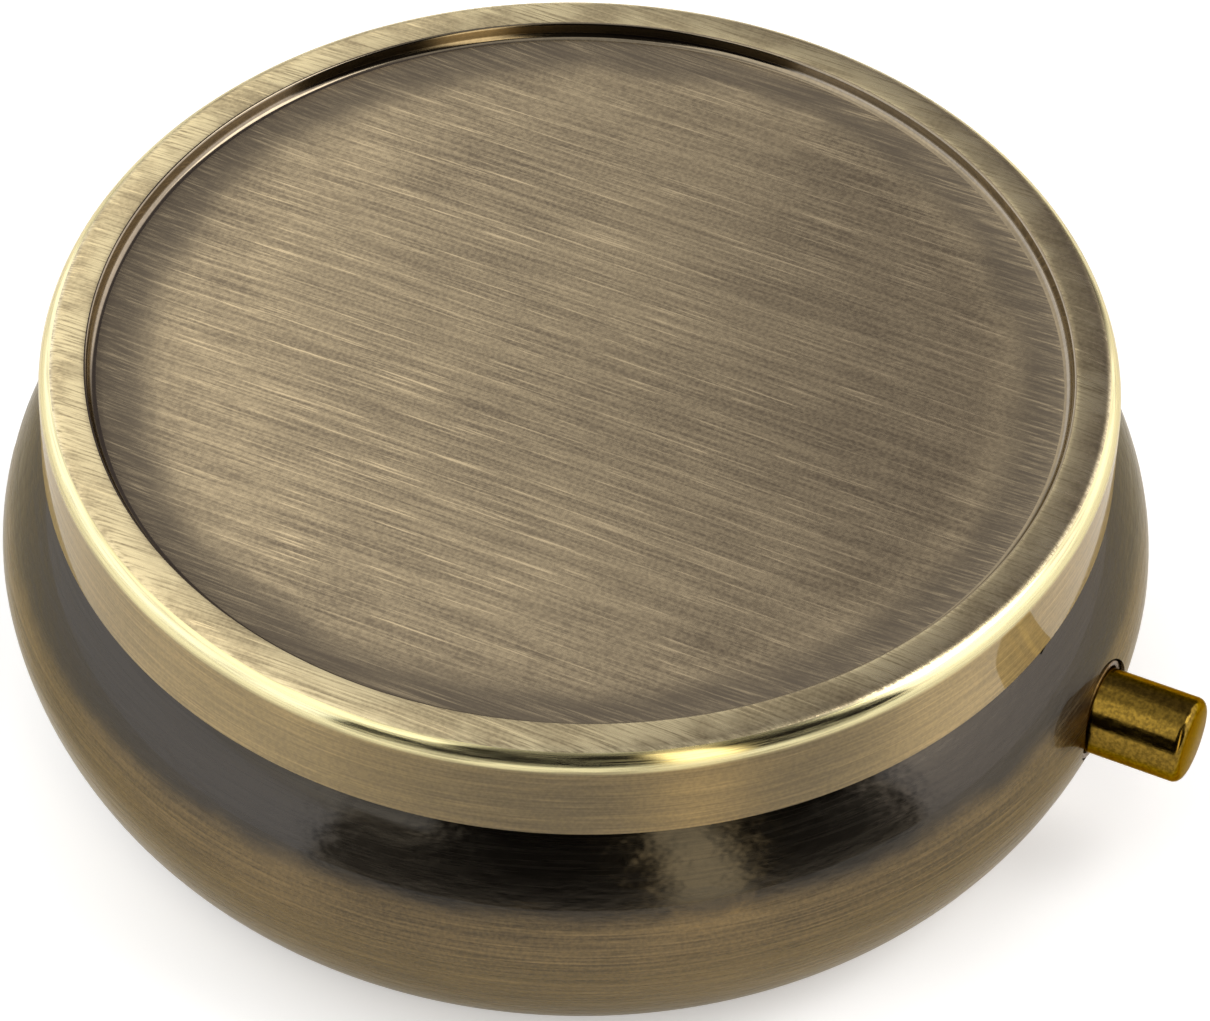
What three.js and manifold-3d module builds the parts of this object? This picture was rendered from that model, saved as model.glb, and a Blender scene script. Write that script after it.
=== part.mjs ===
// Travel pill organizer: a round sheet-brass box with a hinged lid, a push-pin catch
// and a lift-out tray of three compartments. Millimetres, +Z up. The origin is under
// the middle of the flat bottom, the push pin points to -Y and the hinge is at +Y.

import * as THREE from "three";
import { mergeVertices } from "three/addons/utils/BufferGeometryUtils.js";
import Module from "manifold-3d";

const wasm = await Module();
wasm.setup();

// ---- driving dimensions ----------------------------------------------------------

// Bowl
const BOWL_SHEET = 0.6;
const BELLY_RADIUS = 25;
const BELLY_HEIGHT = 7.5;
const FOOT_RADIUS = 20.8;
const LOWER_CURVE = 1.6; // superellipse exponent below the belly, 2 is an ellipse
const SHOULDER_RADIUS = 22;
const SHOULDER_HEIGHT = 12.9;
const NECK_RADIUS = 21.5;
const NECK_TOP = 13.8;

// Trim ring crimped over the neck
const RING_OUTER = 22.1;
const RING_LIP = 20.2;
const RING_LEDGE = 18.6;
const RING_WALL = 0.5;
const RING_TOP = 14.5;
const RING_BOTTOM = 13.05;

// Tray
const TRAY_RADIUS = 17.9;
const TRAY_WALL = 0.8;
const TRAY_FLOOR = 0.7;
const TRAY_BOTTOM = 0.9;
const TRAY_RIM_RADIUS = 20;
const TRAY_RIM_BOTTOM = 13.8;
const TRAY_TOP = 14.4;
const TRAY_CORNER = 0.9;
const TRAY_DIVIDER_TOP = 14.2;
const COMPARTMENTS = 3;

// Lid
const LID_SHEET = 0.5;
const LID_RADIUS = 23.1;
const LID_TOP = 18;
const LID_SKIRT_BOTTOM = 13.3;
const LID_EDGE_ROUND = 0.85;
const RECESS_DEPTH = 0.75;
const RECESS_FLOOR_RADIUS = 20.3;
const RECESS_RADIUS = 21.3;
const FRAME_INNER = 19.5;
const FRAME_OUTER = 22.55;
const FRAME_WALL = 0.45;
const FRAME_BOTTOM = 15.6;
const FRAME_TOP = 16.9;
const MIRROR_RADIUS = 20.1;
const MIRROR_THICKNESS = 0.6;

// Hinge, along X
const HINGE_Y = 22.4;
const HINGE_Z = 7.5;
const KNUCKLE_RADIUS = 1.3;
const PIN_RADIUS = 0.6;
const PIN_BORE = 0.65;
const PIN_HALF_LENGTH = 7.2;
const STRAP_HALF_WIDTH = 3.5;
const STRAP_SHEET = 0.5;
const STRAP_OUTER_Y = 22.1;
const LEAF_SHEET = 0.45;
const LEAF_TOP = FRAME_BOTTOM - 0.05;
const LEAF_INNER = 19.6;
const LEAF_HALF_WIDTH = 7;
const LEAF_PLATE_Y = 20.1;
const HINGE_SLOT_HALF_WIDTH = 7.8;
const HINGE_SLOT_BOTTOM = 5.8;
const HINGE_SLOT_TOP = 9.3;
const STRAP_GAP = 0.4;

// Push pin and catch, along Y at PIN_HEIGHT
const PIN_HEIGHT = 7.5;
const BUTTON_RADIUS = 1.9;
const BUTTON_TIP = 29;
const BUTTON_CHAMFER = 0.3;
const BUTTON_FLANGE_RADIUS = 2.35;
const BUTTON_FLANGE_OUTER = 23.65;
const BUTTON_FLANGE_INNER = 23.25;
const STEM_RADIUS = 1;
const STEM_END = 19.45;
const PIN_HOLE_RADIUS = 2.3;
const BUSH_END = 24.7;
const SLIDE_SHEET = 0.5;
const SLIDE_OUTER = 23.2;
const SLIDE_HALF_WIDTH = 3.4;
const SLIDE_ARM_WIDTH = 0.9;
const KEEPER_BOTTOM = 9.9;
const KEEPER_OUTER = 21.6;
const KEEPER_INNER = 20.2;
const CATCH_HALF_WIDTH = 2;
const CATCH_SHEET = 0.5;
const CATCH_OUTER = 22.4;
const HOOK_INNER = 21;
const HOOK_BOTTOM = 9.2;
const CATCH_GAP = 0.5;
const HOOK_SWEEP = 0.6; // how far the hook swings inwards as it leaves the bowl
const BRACKET_OUTER = 19.9;
const BRACKET_SHEET = 0.5;
const BRACKET_HALF_WIDTH = 4;
const BRACKET_TOP = 9.5;
const CHEEK_TOP = 10.6;
const CHEEK_OUTER = 22;
const CHEEK_SHEET = 0.4;
const FOOT_BOTTOM = 0.65;
const FOOT_INNER = 18.5;

// Rivets that hold the hinge strap and the catch to the lid's frame
const RIVET_RADIUS = 0.4;
const RIVET_HEAD_RADIUS = 0.75;
const RIVET_HEAD_HEIGHT = 0.22;
const RIVET_DISTANCE = 20.75;
const RIVET_SPACING = { strap: 2.3, catch: 1.15 };

// Smoothness
const SHELL_SEGMENTS = 64;
const SMALL_SEGMENTS = 28;
const EPS = 0.02;

// ---- solids ----------------------------------------------------------------------

// A closed three.js geometry as a manifold solid, with its zero-area faces dropped.
function solid(geometry) {
  geometry.deleteAttribute("normal");
  geometry.deleteAttribute("uv");
  const merged = mergeVertices(geometry, 1e-5);
  const index = merged.index.array;
  const faces = [];
  for (let i = 0; i < index.length; i += 3) {
    const [a, b, c] = index.slice(i, i + 3);
    if (a !== b && b !== c && c !== a) faces.push(a, b, c);
  }
  const mesh = new wasm.Mesh({
    numProp: 3,
    vertProperties: new Float32Array(merged.attributes.position.array),
    triVerts: new Uint32Array(faces),
  });
  return new wasm.Manifold(mesh);
}

// A manifold solid as a three.js geometry.
function geometryOf(body) {
  const mesh = body.getMesh();
  const geometry = new THREE.BufferGeometry();
  const positions = new Float32Array(mesh.vertProperties);
  geometry.setAttribute("position", new THREE.BufferAttribute(positions, 3));
  geometry.setIndex(new THREE.BufferAttribute(new Uint32Array(mesh.triVerts), 1));
  geometry.computeVertexNormals();
  return geometry;
}

// A box between two values on each axis.
function box([x0, x1], [y0, y1], [z0, z1]) {
  const geometry = new THREE.BoxGeometry(x1 - x0, y1 - y0, z1 - z0);
  geometry.translate((x0 + x1) / 2, (y0 + y1) / 2, (z0 + z1) / 2);
  return solid(geometry);
}

// A solid of revolution about Z from [radius, height] points. The outline either
// starts and ends on the axis, or is closed here on its own first point.
function turned(points, segments) {
  const outline = points.map(([radius, height]) => new THREE.Vector2(radius, height));
  if (THREE.ShapeUtils.area(outline) < 0) outline.reverse();
  if (outline[0].x > 0) outline.push(outline[0].clone());
  const geometry = new THREE.LatheGeometry(outline, segments);
  geometry.rotateX(Math.PI / 2);
  return geometry;
}

// The same about the push pin's axis: heights become distances towards -Y.
function turnedOnPin(points) {
  const geometry = turned(points, SMALL_SEGMENTS);
  geometry.rotateX(Math.PI / 2);
  geometry.translate(0, 0, PIN_HEIGHT);
  return solid(geometry);
}

// A round bar along X on the hinge axis.
function hingeBar(radius, x0, x1) {
  const geometry = new THREE.CylinderGeometry(radius, radius, x1 - x0, SMALL_SEGMENTS);
  geometry.rotateZ(Math.PI / 2);
  geometry.translate((x0 + x1) / 2, HINGE_Y, HINGE_Z);
  return solid(geometry);
}

// A round wire along a curve.
function wire(points, radius, steps) {
  const section = new THREE.Shape();
  section.absarc(0, 0, radius, 0, 2 * Math.PI, false);
  const geometry = new THREE.ExtrudeGeometry(section, {
    steps,
    curveSegments: 3,
    bevelEnabled: false,
    extrudePath: new THREE.CatmullRomCurve3(points),
  });
  return solid(geometry);
}

// A polyline moved sideways by a distance, to its left as it is walked.
function offset(points, distance) {
  const sides = [];
  for (let i = 0; i + 1 < points.length; i += 1) {
    const run = points[i + 1][0] - points[i][0];
    const rise = points[i + 1][1] - points[i][1];
    const length = Math.hypot(run, rise);
    sides.push([-rise / length, run / length]);
  }
  return points.map(([radius, height], i) => {
    const before = sides[Math.max(i - 1, 0)];
    const after = sides[Math.min(i, sides.length - 1)];
    const mitre = 1 + before[0] * after[0] + before[1] * after[1];
    return [
      radius + (distance * (before[0] + after[0])) / mitre,
      height + (distance * (before[1] + after[1])) / mitre,
    ];
  });
}

// A sheet-metal wall: an outline and its offset, joined into one closed outline.
function sheet(points, thickness) {
  return [...points, ...offset(points, thickness).reverse()];
}

// Points along a stretch, from a function of 0 to 1.
function along(steps, point) {
  return Array.from({ length: steps + 1 }, (_, i) => point(i / steps));
}

const both = [-1, 1];

// ---- base ------------------------------------------------------------------------

function bowl() {
  const foot = BELLY_RADIUS - FOOT_RADIUS;
  const lower = along(8, (t) => [
    FOOT_RADIUS + foot * Math.sin((t * Math.PI) / 2) ** (2 / LOWER_CURVE),
    BELLY_HEIGHT * (1 - Math.cos((t * Math.PI) / 2) ** (2 / LOWER_CURVE)),
  ]);
  const upper = along(7, (t) => [
    SHOULDER_RADIUS + (BELLY_RADIUS - SHOULDER_RADIUS) * Math.cos((t * Math.PI) / 2),
    BELLY_HEIGHT + (SHOULDER_HEIGHT - BELLY_HEIGHT) * Math.sin((t * Math.PI) / 2),
  ]);
  const outline = [
    [0, 0],
    ...lower,
    ...upper.slice(1),
    [NECK_RADIUS, SHOULDER_HEIGHT],
    [NECK_RADIUS, NECK_TOP],
  ];
  const shell = solid(turned(sheet(outline, BOWL_SHEET), SHELL_SEGMENTS));
  const pinHole = turnedOnPin([
    [0, KEEPER_INNER],
    [PIN_HOLE_RADIUS, KEEPER_INNER],
    [PIN_HOLE_RADIUS, BUTTON_TIP],
    [0, BUTTON_TIP],
  ]);
  const hingeSlot = box(
    [-HINGE_SLOT_HALF_WIDTH, HINGE_SLOT_HALF_WIDTH],
    [LEAF_PLATE_Y, BELLY_RADIUS + 1],
    [HINGE_SLOT_BOTTOM, HINGE_SLOT_TOP],
  );
  const strapNotch = box(
    [-STRAP_HALF_WIDTH - STRAP_GAP, STRAP_HALF_WIDTH + STRAP_GAP],
    [NECK_RADIUS + EPS, BELLY_RADIUS + 1],
    [HINGE_SLOT_TOP - EPS, SHOULDER_HEIGHT + 1],
  );
  const catchSlot = box(
    [-CATCH_HALF_WIDTH - CATCH_GAP, CATCH_HALF_WIDTH + CATCH_GAP],
    [-CATCH_OUTER - CATCH_GAP / 2, -HOOK_INNER + HOOK_SWEEP],
    [SHOULDER_HEIGHT - 2 * BOWL_SHEET, NECK_TOP + 1],
  );
  return shell.subtract(pinHole).subtract(hingeSlot).subtract(strapNotch).subtract(catchSlot);
}

function mouthRing() {
  const webBottom = RING_TOP - RING_WALL;
  const ledgeTop = TRAY_RIM_BOTTOM - 0.05;
  const ring = solid(
    turned(
      [
        [RING_OUTER, RING_BOTTOM],
        [RING_OUTER, RING_TOP],
        [RING_LIP, RING_TOP],
        [RING_LIP, ledgeTop],
        [RING_LEDGE, ledgeTop],
        [RING_LEDGE, ledgeTop - RING_WALL],
        [RING_LIP + RING_WALL, ledgeTop - RING_WALL],
        [RING_LIP + RING_WALL, webBottom],
        [RING_OUTER - RING_WALL, webBottom],
        [RING_OUTER - RING_WALL, RING_BOTTOM],
      ],
      SHELL_SEGMENTS,
    ),
  );
  const strapNotch = box(
    [-STRAP_HALF_WIDTH - STRAP_GAP, STRAP_HALF_WIDTH + STRAP_GAP],
    [STRAP_OUTER_Y - STRAP_SHEET - STRAP_GAP, RING_OUTER + 1],
    [RING_BOTTOM - 1, RING_TOP + 1],
  );
  const catchNotch = box(
    [-CATCH_HALF_WIDTH - CATCH_GAP, CATCH_HALF_WIDTH + CATCH_GAP],
    [-RING_OUTER - 1, -RING_LIP + EPS],
    [RING_BOTTOM - 1, RING_TOP + 1],
  );
  return ring.subtract(strapNotch).subtract(catchNotch);
}

function pillTray() {
  const floorTop = TRAY_BOTTOM + TRAY_FLOOR;
  const inner = TRAY_RADIUS - TRAY_WALL;
  const corner = (radius, bottom, round) =>
    along(4, (t) => [
      radius - round + round * Math.sin((t * Math.PI) / 2),
      bottom + round - round * Math.cos((t * Math.PI) / 2),
    ]);
  const cup = solid(
    turned(
      [
        [0, TRAY_BOTTOM],
        ...corner(TRAY_RADIUS, TRAY_BOTTOM, TRAY_CORNER),
        [TRAY_RADIUS, TRAY_RIM_BOTTOM],
        [TRAY_RIM_RADIUS, TRAY_RIM_BOTTOM],
        [TRAY_RIM_RADIUS, TRAY_TOP],
        [inner, TRAY_TOP],
        ...corner(inner, floorTop, TRAY_CORNER / 2).reverse(),
        [0, floorTop],
      ],
      SHELL_SEGMENTS,
    ),
  );
  const half = TRAY_WALL / 2;
  return along(COMPARTMENTS - 1, (t) => t * (COMPARTMENTS - 1)).reduce((tray, i) => {
    const length = inner + half;
    const wall = new THREE.BoxGeometry(length, TRAY_WALL, TRAY_DIVIDER_TOP - floorTop + half);
    wall.translate(length / 2 - half / 2, 0, (TRAY_DIVIDER_TOP + floorTop - half) / 2);
    wall.rotateZ(Math.PI / 2 + (2 * Math.PI * i) / COMPARTMENTS);
    return tray.add(solid(wall));
  }, cup);
}

function hingeLeaf() {
  const plateY = [LEAF_PLATE_Y - STRAP_SHEET, LEAF_PLATE_Y];
  const kneeZ = HINGE_SLOT_BOTTOM / 2;
  let leaf = box([-LEAF_HALF_WIDTH, LEAF_HALF_WIDTH], plateY, [kneeZ, HINGE_SLOT_TOP - 0.4]);
  leaf = leaf.add(box([-BRACKET_HALF_WIDTH, BRACKET_HALF_WIDTH], plateY, [FOOT_BOTTOM, kneeZ + 1]));
  leaf = leaf.add(
    box(
      [-BRACKET_HALF_WIDTH, BRACKET_HALF_WIDTH],
      [FOOT_INNER, LEAF_PLATE_Y - EPS],
      [FOOT_BOTTOM, FOOT_BOTTOM + STRAP_SHEET],
    ),
  );
  const earInner = STRAP_HALF_WIDTH + 0.3;
  for (const side of both) {
    const ear = [side * earInner, side * LEAF_HALF_WIDTH].sort((a, b) => a - b);
    leaf = leaf.add(box(ear, [LEAF_PLATE_Y - EPS, HINGE_Y], [HINGE_Z - 0.5, HINGE_Z + 0.5]));
    leaf = leaf.add(hingeBar(KNUCKLE_RADIUS, ear[0], ear[1]));
  }
  return leaf.subtract(hingeBar(PIN_BORE, -LEAF_HALF_WIDTH - 1, LEAF_HALF_WIDTH + 1));
}

// Torsion spring: a coil on the hinge pin with one leg on the leaf, one on the strap.
function hingeSpring() {
  const coil = 1.05;
  const halfWidth = 1.2;
  const turns = 3.25;
  const steps = 52;
  const points = along(steps, (t) => {
    const angle = -Math.PI / 2 - t * turns * 2 * Math.PI;
    const x = -halfWidth + 2 * halfWidth * t;
    return new THREE.Vector3(x, HINGE_Y + coil * Math.cos(angle), HINGE_Z + coil * Math.sin(angle));
  });
  const leafLeg = [
    new THREE.Vector3(-halfWidth, LEAF_PLATE_Y + 0.25, HINGE_Z - coil - 0.1),
    new THREE.Vector3(-halfWidth, HINGE_Y - coil, HINGE_Z - coil),
  ];
  const strapLeg = [
    new THREE.Vector3(halfWidth, HINGE_Y - coil, HINGE_Z + coil),
    new THREE.Vector3(halfWidth, HINGE_Y - coil, HINGE_Z + 2 * coil + 1.4),
  ];
  return wire([...leafLeg, ...points, ...strapLeg], 0.17, 84);
}

// Plain brass bush in the bowl's pin hole, set a little below the surface.
function buttonBush() {
  const bore = BUTTON_RADIUS + 0.07;
  const outer = PIN_HOLE_RADIUS - 0.08;
  return turnedOnPin([
    [bore, BUTTON_FLANGE_OUTER + 0.1],
    [outer, BUTTON_FLANGE_OUTER + 0.1],
    [outer, BUSH_END],
    [bore, BUSH_END],
  ]);
}

function buttonSpring() {
  const radius = 1.28;
  const wireRadius = 0.17;
  const turns = 4;
  const near = BRACKET_OUTER + wireRadius + 0.05;
  const far = SLIDE_OUTER - SLIDE_SHEET - wireRadius - 0.05;
  const points = along(16 * turns, (t) => {
    const angle = t * turns * 2 * Math.PI;
    return new THREE.Vector3(
      radius * Math.cos(angle),
      -near - (far - near) * t,
      PIN_HEIGHT + radius * Math.sin(angle),
    );
  });
  return wire(points, wireRadius, 64);
}

// Angle bracket spot-welded to the bowl's floor: it guides the stem and the slide.
function latchBracket() {
  const plateY = [-BRACKET_OUTER, -BRACKET_OUTER + BRACKET_SHEET];
  let bracket = box([-BRACKET_HALF_WIDTH, BRACKET_HALF_WIDTH], plateY, [FOOT_BOTTOM, BRACKET_TOP]);
  bracket = bracket.add(
    box(
      [-BRACKET_HALF_WIDTH, BRACKET_HALF_WIDTH],
      [plateY[0] + EPS, -FOOT_INNER],
      [FOOT_BOTTOM, FOOT_BOTTOM + BRACKET_SHEET],
    ),
  );
  for (const side of both) {
    const edge = side * BRACKET_HALF_WIDTH;
    const cheek = [edge, edge - side * CHEEK_SHEET].sort((a, b) => a - b);
    bracket = bracket.add(box(cheek, [-CHEEK_OUTER, plateY[1]], [BRACKET_TOP - 1.5, CHEEK_TOP]));
  }
  const stemHole = turnedOnPin([
    [0, BRACKET_OUTER - 1],
    [STEM_RADIUS + 0.1, BRACKET_OUTER - 1],
    [STEM_RADIUS + 0.1, BRACKET_OUTER + 1],
    [0, BRACKET_OUTER + 1],
  ]);
  return bracket.subtract(stemHole);
}

// ---- button ----------------------------------------------------------------------

// The flange that keeps the pin in has a flat on top, which passes under the catch.
function pushButton() {
  const pin = turnedOnPin([
    [0, STEM_END],
    [STEM_RADIUS, STEM_END],
    [STEM_RADIUS, BUTTON_FLANGE_INNER],
    [BUTTON_FLANGE_RADIUS, BUTTON_FLANGE_INNER],
    [BUTTON_FLANGE_RADIUS, BUTTON_FLANGE_OUTER],
    [BUTTON_RADIUS, BUTTON_FLANGE_OUTER],
    [BUTTON_RADIUS, BUTTON_TIP - BUTTON_CHAMFER],
    [BUTTON_RADIUS - BUTTON_CHAMFER, BUTTON_TIP],
    [0, BUTTON_TIP],
  ]);
  const flat = box(
    [-BUTTON_FLANGE_RADIUS, BUTTON_FLANGE_RADIUS],
    [-BUTTON_FLANGE_OUTER - EPS, -BUTTON_FLANGE_INNER + EPS],
    [HOOK_BOTTOM - 0.15, PIN_HEIGHT + BUTTON_FLANGE_RADIUS + 1],
  );
  return pin.subtract(flat);
}

// A frame round the catch: a plate on the stem, two arms and the keeper bar.
function latchSlide() {
  const plateY = [-SLIDE_OUTER, -SLIDE_OUTER + SLIDE_SHEET];
  const keeperTop = KEEPER_BOTTOM + SLIDE_SHEET;
  const width = [-SLIDE_HALF_WIDTH, SLIDE_HALF_WIDTH];
  let slide = box(width, plateY, [PIN_HEIGHT - 1.9, HOOK_BOTTOM - 0.2]);
  slide = slide.add(box(width, [-KEEPER_OUTER, -KEEPER_INNER], [KEEPER_BOTTOM, keeperTop]));
  for (const side of both) {
    const edge = side * SLIDE_HALF_WIDTH;
    const arm = [edge, edge - side * SLIDE_ARM_WIDTH].sort((a, b) => a - b);
    slide = slide.add(box(arm, plateY, [HOOK_BOTTOM - 1, keeperTop]));
    slide = slide.add(box(arm, [plateY[0], -KEEPER_INNER], [KEEPER_BOTTOM, keeperTop]));
  }
  const stemHole = turnedOnPin([
    [0, SLIDE_OUTER - 1],
    [STEM_RADIUS + 0.03, SLIDE_OUTER - 1],
    [STEM_RADIUS + 0.03, SLIDE_OUTER + 1],
    [0, SLIDE_OUTER + 1],
  ]);
  return slide.subtract(stemHole);
}

// ---- lid -------------------------------------------------------------------------

function lidShell() {
  const floor = LID_TOP - RECESS_DEPTH;
  const wall = along(6, (t) => [
    RECESS_FLOOR_RADIUS + (RECESS_RADIUS - RECESS_FLOOR_RADIUS) * t,
    floor + (RECESS_DEPTH * (1 - Math.cos(Math.PI * t))) / 2,
  ]);
  const edge = along(5, (t) => [
    LID_RADIUS - LID_EDGE_ROUND * (1 - Math.sin((t * Math.PI) / 2)),
    LID_TOP - LID_EDGE_ROUND * (1 - Math.cos((t * Math.PI) / 2)),
  ]);
  const outline = [[0, floor], ...wall, ...edge, [LID_RADIUS, LID_SKIRT_BOTTOM]];
  return solid(turned(sheet(outline, -LID_SHEET), SHELL_SEGMENTS));
}

// The holes for the rivets at one side of the lid, cut through whatever they hold.
function rivetHoles(name, side) {
  return both.map((hand) => {
    const hole = turned(
      [
        [0, LEAF_TOP - 1],
        [RIVET_RADIUS + 0.03, LEAF_TOP - 1],
        [RIVET_RADIUS + 0.03, FRAME_TOP],
        [0, FRAME_TOP],
      ],
      SMALL_SEGMENTS / 2,
    );
    hole.translate(hand * RIVET_SPACING[name], side * RIVET_DISTANCE, 0);
    return solid(hole);
  });
}

function lidFrame() {
  const flangeTop = FRAME_BOTTOM + FRAME_WALL;
  const frame = solid(
    turned(
      [
        [FRAME_OUTER, FRAME_BOTTOM],
        [FRAME_OUTER, FRAME_TOP],
        [FRAME_OUTER - FRAME_WALL, FRAME_TOP],
        [FRAME_OUTER - FRAME_WALL, flangeTop],
        [FRAME_INNER, flangeTop],
        [FRAME_INNER, FRAME_BOTTOM],
      ],
      SHELL_SEGMENTS,
    ),
  );
  const holes = [...rivetHoles("strap", 1), ...rivetHoles("catch", -1)];
  return holes.reduce((rest, hole) => rest.subtract(hole), frame);
}

function lidMirror() {
  const bottom = FRAME_BOTTOM + FRAME_WALL + 0.03;
  return solid(
    turned(
      [
        [0, bottom],
        [MIRROR_RADIUS, bottom],
        [MIRROR_RADIUS, bottom + MIRROR_THICKNESS],
        [0, bottom + MIRROR_THICKNESS],
      ],
      SHELL_SEGMENTS,
    ),
  );
}

function hingeStrap() {
  const width = [-STRAP_HALF_WIDTH, STRAP_HALF_WIDTH];
  const coilRoom = 1.75;
  let strap = box(width, [STRAP_OUTER_Y - STRAP_SHEET, STRAP_OUTER_Y], [HINGE_Z, LEAF_TOP]);
  strap = strap.add(box(width, [LEAF_INNER, STRAP_OUTER_Y], [LEAF_TOP - LEAF_SHEET, LEAF_TOP]));
  for (const side of both) {
    const knuckle = [side * coilRoom, side * STRAP_HALF_WIDTH].sort((a, b) => a - b);
    strap = strap.add(hingeBar(KNUCKLE_RADIUS, knuckle[0], knuckle[1]));
  }
  const window = box([-coilRoom, coilRoom], [HINGE_Y - 3, HINGE_Y + 3], [HINGE_Z - 3, HINGE_Z + 2]);
  const bore = hingeBar(PIN_BORE, -STRAP_HALF_WIDTH - 1, STRAP_HALF_WIDTH + 1);
  const drilled = strap.subtract(window).subtract(bore);
  return rivetHoles("strap", 1).reduce((rest, hole) => rest.subtract(hole), drilled);
}

function lidCatch() {
  const width = [-CATCH_HALF_WIDTH, CATCH_HALF_WIDTH];
  const stripY = [-CATCH_OUTER, -CATCH_OUTER + CATCH_SHEET];
  let hook = box(width, stripY, [HOOK_BOTTOM, LEAF_TOP]);
  hook = hook.add(box(width, [-CATCH_OUTER, -LEAF_INNER], [LEAF_TOP - LEAF_SHEET, LEAF_TOP]));
  hook = hook.add(box(width, [-CATCH_OUTER, -HOOK_INNER], [HOOK_BOTTOM, HOOK_BOTTOM + CATCH_SHEET]));
  return rivetHoles("catch", -1).reduce((rest, hole) => rest.subtract(hole), hook);
}

function rivet() {
  const headTop = LEAF_TOP - LEAF_SHEET - EPS;
  const head = along(4, (t) => [
    RIVET_HEAD_RADIUS * Math.sin((t * Math.PI) / 2),
    headTop - RIVET_HEAD_HEIGHT * Math.cos((t * Math.PI) / 2),
  ]);
  const shankTop = FRAME_BOTTOM + FRAME_WALL;
  const outline = [...head, [RIVET_RADIUS, headTop], [RIVET_RADIUS, shankTop], [0, shankTop]];
  return solid(turned(outline, SMALL_SEGMENTS / 2));
}

// ---- assembly --------------------------------------------------------------------

// Finishes: colour, roughness and metalness.
const FINISH = {
  antiqueBrass: [0x8f8060, 0.38, 1],
  innerBrass: [0xa8936a, 0.35, 1],
  brightBrass: [0x9a7a2c, 0.25, 1],
  steel: [0x9a9a98, 0.35, 1],
  springSteel: [0x8a8c90, 0.3, 1],
  plastic: [0xe9ebe8, 0.45, 0],
  mirror: [0xe8ecee, 0.05, 1],
};

function piece(name, body, finish) {
  const [color, roughness, metalness] = FINISH[finish];
  const material = new THREE.MeshStandardMaterial({ color, roughness, metalness });
  const mesh = new THREE.Mesh(geometryOf(body), material);
  mesh.name = name;
  return mesh;
}

const base = new THREE.Group();
base.add(
  piece("bowl", bowl(), "antiqueBrass"),
  piece("mouth_ring", mouthRing(), "innerBrass"),
  piece("pill_tray", pillTray(), "plastic"),
  piece("hinge_leaf", hingeLeaf(), "steel"),
  piece("hinge_pin", hingeBar(PIN_RADIUS, -PIN_HALF_LENGTH, PIN_HALF_LENGTH), "steel"),
  piece("hinge_spring", hingeSpring(), "springSteel"),
  piece("button_bush", buttonBush(), "brightBrass"),
  piece("button_spring", buttonSpring(), "springSteel"),
  piece("latch_bracket", latchBracket(), "steel"),
);

const button = new THREE.Group();
button.add(
  piece("push_button", pushButton(), "brightBrass"),
  piece("latch_slide", latchSlide(), "steel"),
);

const lid = new THREE.Group();
lid.add(
  piece("lid_shell", lidShell(), "antiqueBrass"),
  piece("lid_frame", lidFrame(), "innerBrass"),
  piece("lid_mirror", lidMirror(), "mirror"),
  piece("hinge_strap", hingeStrap(), "steel"),
  piece("lid_catch", lidCatch(), "steel"),
);
const rows = [
  ["strap", 1],
  ["catch", -1],
];
for (const [name, side] of rows) {
  for (const hand of both) {
    const pin = piece(`${name}_rivet_${hand < 0 ? "left" : "right"}`, rivet(), "steel");
    pin.position.set(hand * RIVET_SPACING[name], side * RIVET_DISTANCE, 0);
    lid.add(pin);
  }
}

const pillOrganizer = new THREE.Group();
pillOrganizer.add(base, button, lid);

export default pillOrganizer;
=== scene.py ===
import math

import bmesh
import bpy
from mathutils import Matrix, Vector


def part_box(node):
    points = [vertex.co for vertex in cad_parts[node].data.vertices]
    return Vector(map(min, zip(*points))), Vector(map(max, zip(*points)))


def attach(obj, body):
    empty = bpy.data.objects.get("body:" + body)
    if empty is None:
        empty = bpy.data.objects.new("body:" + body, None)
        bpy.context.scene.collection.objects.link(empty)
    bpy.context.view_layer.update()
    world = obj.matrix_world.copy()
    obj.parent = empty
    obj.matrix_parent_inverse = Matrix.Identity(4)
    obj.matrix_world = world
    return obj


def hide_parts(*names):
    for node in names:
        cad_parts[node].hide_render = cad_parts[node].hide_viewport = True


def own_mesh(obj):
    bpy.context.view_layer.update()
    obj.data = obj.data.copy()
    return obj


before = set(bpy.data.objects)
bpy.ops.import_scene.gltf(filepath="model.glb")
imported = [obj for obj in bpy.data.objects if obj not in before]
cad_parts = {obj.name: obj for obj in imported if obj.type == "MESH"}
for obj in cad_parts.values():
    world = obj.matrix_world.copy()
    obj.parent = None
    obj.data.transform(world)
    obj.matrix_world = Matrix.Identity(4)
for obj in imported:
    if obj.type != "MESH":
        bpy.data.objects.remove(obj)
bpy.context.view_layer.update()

# Travel pill organizer: the looks. Metres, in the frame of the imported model: +Z up,
# push pin towards -Y, hinge towards +Y, origin under the middle of the flat bottom.

MM = 0.001  # shapes are drawn in millimetres and scaled by this

# ---- sizes, in millimetres --------------------------------------------------------


def low(node):
    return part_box(node)[0] / MM


def high(node):
    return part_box(node)[1] / MM


BOWL_SHEET = 0.6
BELLY_RADIUS = high("bowl").x
BELLY_HEIGHT = 7.5
FOOT_RADIUS = 20.8
LOWER_CURVE = 1.6
SHOULDER_LEAN = math.radians(50)  # how far its surface leans in at the top
SHOULDER_HEIGHT = 12.9
NECK_RADIUS = 21.5
NECK_TOP = high("bowl").z
OUTSIDE = 26  # how far out the cuts through the bowl's wall reach
HINGE_OPENING_HALF = 7.8
HINGE_OPENING_INNER = 20.1
HINGE_OPENING_BOTTOM = 5.8
HINGE_OPENING_TOP = 9.3
HOOK_OPENING_INNER = 20.4
HOOK_OPENING_OUTER = 22.65
HOOK_OPENING_BOTTOM = 11.7

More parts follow.
